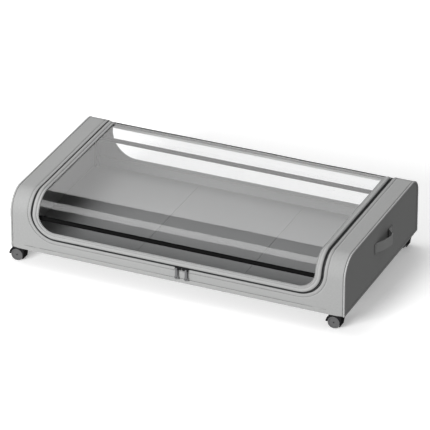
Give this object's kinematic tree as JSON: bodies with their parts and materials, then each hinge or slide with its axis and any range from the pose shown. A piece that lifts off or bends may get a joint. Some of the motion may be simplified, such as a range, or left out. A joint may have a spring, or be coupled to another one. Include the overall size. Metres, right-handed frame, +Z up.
{
  "type": "under bed box",
  "caption": "Low wheeled storage box of grey fabric over boards, with a clear zipped cover that folds up, support rods and end handles.",
  "frame": {"origin": "on the floor under the middle of the fabric case", "axes": "+X along the length, +Y from the zipped front to the back, +Z up"},
  "size_m": [0.831, 0.4412, 0.1746],
  "materials": {
    "case_fabric": "fine woven, matt",
    "end_fabric": "fine woven, matt",
    "lining_fabric": "fine woven, matt",
    "piping_fabric": "bias-cut cord, matt",
    "binding_fabric": "rolled binding, matt",
    "board": "corrugated plastic board",
    "zip_tape": "zip tape and nylon coil",
    "clear_sheet": "clear flexible sheet",
    "rod_black": "satin black tube",
    "webbing": "woven webbing",
    "slider_metal": "black enamelled zinc",
    "caster_steel": "zinc plated",
    "caster_black": "moulded, satin",
    "wheel_grey": "moulded, satin"
  },
  "bodies": {
    "case": {"surround_panel": "case_fabric", "end_panel_left": "end_fabric", "end_panel_right": "end_fabric", "end_board_left": "board", "end_board_right": "board", "end_lining_left": "lining_fabric", "end_lining_right": "lining_fabric", "piping_left": "piping_fabric", "piping_right": "piping_fabric", "bottom_panel": "case_fabric", "base_board_left": "board", "base_board_centre": "board", "base_board_right": "board", "floor_lining": "lining_fabric", "front_board": "board", "rear_board": "board", "front_lining": "lining_fabric", "rear_lining": "lining_fabric", "zip_half_case": "zip_tape", "rear_window": "clear_sheet", "front_rod": "rod_black", "rear_rod": "rod_black", "handle_strap_left": "webbing", "handle_strap_right": "webbing", "caster_rivets": "caster_steel", "caster_plate_front_left": "caster_steel", "caster_plate_front_right": "caster_steel", "caster_plate_rear_left": "caster_steel", "caster_plate_rear_right": "caster_steel"},
    "cover_top": {"cover_sheet_top": "clear_sheet", "cover_binding_left": "binding_fabric", "cover_binding_right": "binding_fabric", "cover_zip_half_left": "zip_tape", "cover_zip_half_right": "zip_tape"},
    "cover_front": {"cover_sheet_front": "clear_sheet", "cover_binding_front": "binding_fabric", "cover_zip_half_front": "zip_tape"},
    "slider_left": {"zip_slider_left": "slider_metal"},
    "slider_right": {"zip_slider_right": "slider_metal"},
    "pull_left": {"zip_pull_left": "slider_metal"},
    "pull_right": {"zip_pull_right": "slider_metal"},
    "caster_front_left": {"caster_hood_front_left": "caster_black", "caster_axle_front_left": "caster_steel"},
    "wheel_outer_front_left": {"caster_wheel_outer_front_left": "wheel_grey"},
    "wheel_inner_front_left": {"caster_wheel_inner_front_left": "wheel_grey"},
    "caster_front_right": {"caster_hood_front_right": "caster_black", "caster_axle_front_right": "caster_steel"},
    "wheel_outer_front_right": {"caster_wheel_outer_front_right": "wheel_grey"},
    "wheel_inner_front_right": {"caster_wheel_inner_front_right": "wheel_grey"},
    "caster_rear_left": {"caster_hood_rear_left": "caster_black", "caster_axle_rear_left": "caster_steel"},
    "wheel_outer_rear_left": {"caster_wheel_outer_rear_left": "wheel_grey"},
    "wheel_inner_rear_left": {"caster_wheel_inner_rear_left": "wheel_grey"},
    "caster_rear_right": {"caster_hood_rear_right": "caster_black", "caster_axle_rear_right": "caster_steel"},
    "wheel_outer_rear_right": {"caster_wheel_outer_rear_right": "wheel_grey"},
    "wheel_inner_rear_right": {"caster_wheel_inner_rear_right": "wheel_grey"}
  },
  "joints": [
    {"name": "cover_hinge", "type": "hinge", "parent": "case", "child": "cover_top", "pos_m": [0, 0.184, 0.1746], "axis": [-1, 0, 0], "range_deg": [0, 110]},
    {"name": "cover_fold", "type": "hinge", "parent": "cover_top", "child": "cover_front", "pos_m": [0, -0.167, 0.1746], "axis": [-1, 0, 0], "range_deg": [0, 90]},
    {"name": "slider_left_travel", "type": "slide", "parent": "case", "child": "slider_left", "axis": [-1, 0, 0], "range_m": [0, 0.29]},
    {"name": "slider_right_travel", "type": "slide", "parent": "case", "child": "slider_right", "axis": [1, 0, 0], "range_m": [0, 0.257]},
    {"name": "pull_left_swing", "type": "hinge", "parent": "slider_left", "child": "pull_left", "pos_m": [0.005, -0.2221, 0.07144], "axis": [-1, 0, 0], "range_deg": [0, 170]},
    {"name": "pull_right_swing", "type": "hinge", "parent": "slider_right", "child": "pull_right", "pos_m": [0.028, -0.2221, 0.07144], "axis": [-1, 0, 0], "range_deg": [0, 170]},
    {"name": "caster_front_left_swivel", "type": "hinge", "parent": "case", "child": "caster_front_left", "pos_m": [-0.381, -0.198, 0.03], "axis": [0, 0, 1], "continuous": true},
    {"name": "wheel_outer_front_left_spin", "type": "hinge", "parent": "caster_front_left", "child": "wheel_outer_front_left", "pos_m": [-0.39, -0.198, 0.014], "axis": [0, 1, 0], "continuous": true},
    {"name": "wheel_inner_front_left_spin", "type": "hinge", "parent": "caster_front_left", "child": "wheel_inner_front_left", "pos_m": [-0.39, -0.198, 0.014], "axis": [0, 1, 0], "continuous": true},
    {"name": "caster_front_right_swivel", "type": "hinge", "parent": "case", "child": "caster_front_right", "pos_m": [0.381, -0.198, 0.03], "axis": [0, 0, 1], "continuous": true},
    {"name": "wheel_outer_front_right_spin", "type": "hinge", "parent": "caster_front_right", "child": "wheel_outer_front_right", "pos_m": [0.372, -0.198, 0.014], "axis": [0, 1, 0], "continuous": true},
    {"name": "wheel_inner_front_right_spin", "type": "hinge", "parent": "caster_front_right", "child": "wheel_inner_front_right", "pos_m": [0.372, -0.198, 0.014], "axis": [0, 1, 0], "continuous": true},
    {"name": "caster_rear_left_swivel", "type": "hinge", "parent": "case", "child": "caster_rear_left", "pos_m": [-0.381, 0.198, 0.03], "axis": [0, 0, 1], "continuous": true},
    {"name": "wheel_outer_rear_left_spin", "type": "hinge", "parent": "caster_rear_left", "child": "wheel_outer_rear_left", "pos_m": [-0.39, 0.198, 0.014], "axis": [0, 1, 0], "continuous": true},
    {"name": "wheel_inner_rear_left_spin", "type": "hinge", "parent": "caster_rear_left", "child": "wheel_inner_rear_left", "pos_m": [-0.39, 0.198, 0.014], "axis": [0, 1, 0], "continuous": true},
    {"name": "caster_rear_right_swivel", "type": "hinge", "parent": "case", "child": "caster_rear_right", "pos_m": [0.381, 0.198, 0.03], "axis": [0, 0, 1], "continuous": true},
    {"name": "wheel_outer_rear_right_spin", "type": "hinge", "parent": "caster_rear_right", "child": "wheel_outer_rear_right", "pos_m": [0.372, 0.198, 0.014], "axis": [0, 1, 0], "continuous": true},
    {"name": "wheel_inner_rear_right_spin", "type": "hinge", "parent": "caster_rear_right", "child": "wheel_inner_rear_right", "pos_m": [0.372, 0.198, 0.014], "axis": [0, 1, 0], "continuous": true}
  ]
}
